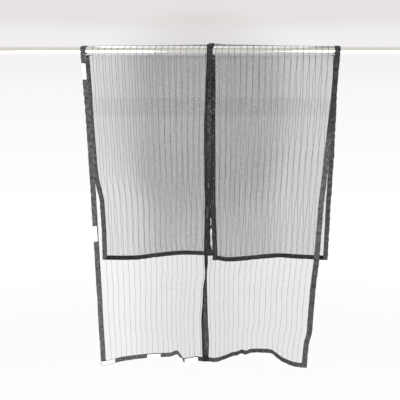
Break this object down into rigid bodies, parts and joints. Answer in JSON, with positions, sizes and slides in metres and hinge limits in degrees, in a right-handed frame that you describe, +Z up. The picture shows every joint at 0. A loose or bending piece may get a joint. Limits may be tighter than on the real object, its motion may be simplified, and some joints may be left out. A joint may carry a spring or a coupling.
{
  "type": "mosquito net door curtain on a rod",
  "caption": "Sheer net door curtain in two panels with dark tape binding, thrown over a round rod, long drop in front, short drop behind.",
  "frame": {"origin": "on the rod's axis, at the middle of the curtain", "axes": "+X along the rod to the viewer's right, -Y towards the viewer and the long drop, +Z up"},
  "size_m": [1.65, 0.175, 1.2843],
  "materials": {
    "rod": "polished",
    "net": "sheer open net with fine darker stripes",
    "tape": "matte woven tape",
    "fastening": "smooth white backing"
  },
  "bodies": {
    "root": {"rod": "rod", "left_net": "net", "left_outer_band": "tape", "left_centre_band": "tape", "left_front_hem": "tape", "left_rear_hem": "tape", "right_net": "net", "right_outer_band": "tape", "right_centre_band": "tape", "right_front_hem": "tape", "right_rear_hem": "tape", "fastening_strip_1": "fastening", "fastening_strip_2": "fastening", "fastening_strip_3": "fastening", "fastening_strip_4": "fastening", "fastening_strip_5": "fastening"}
  },
  "joints": []
}
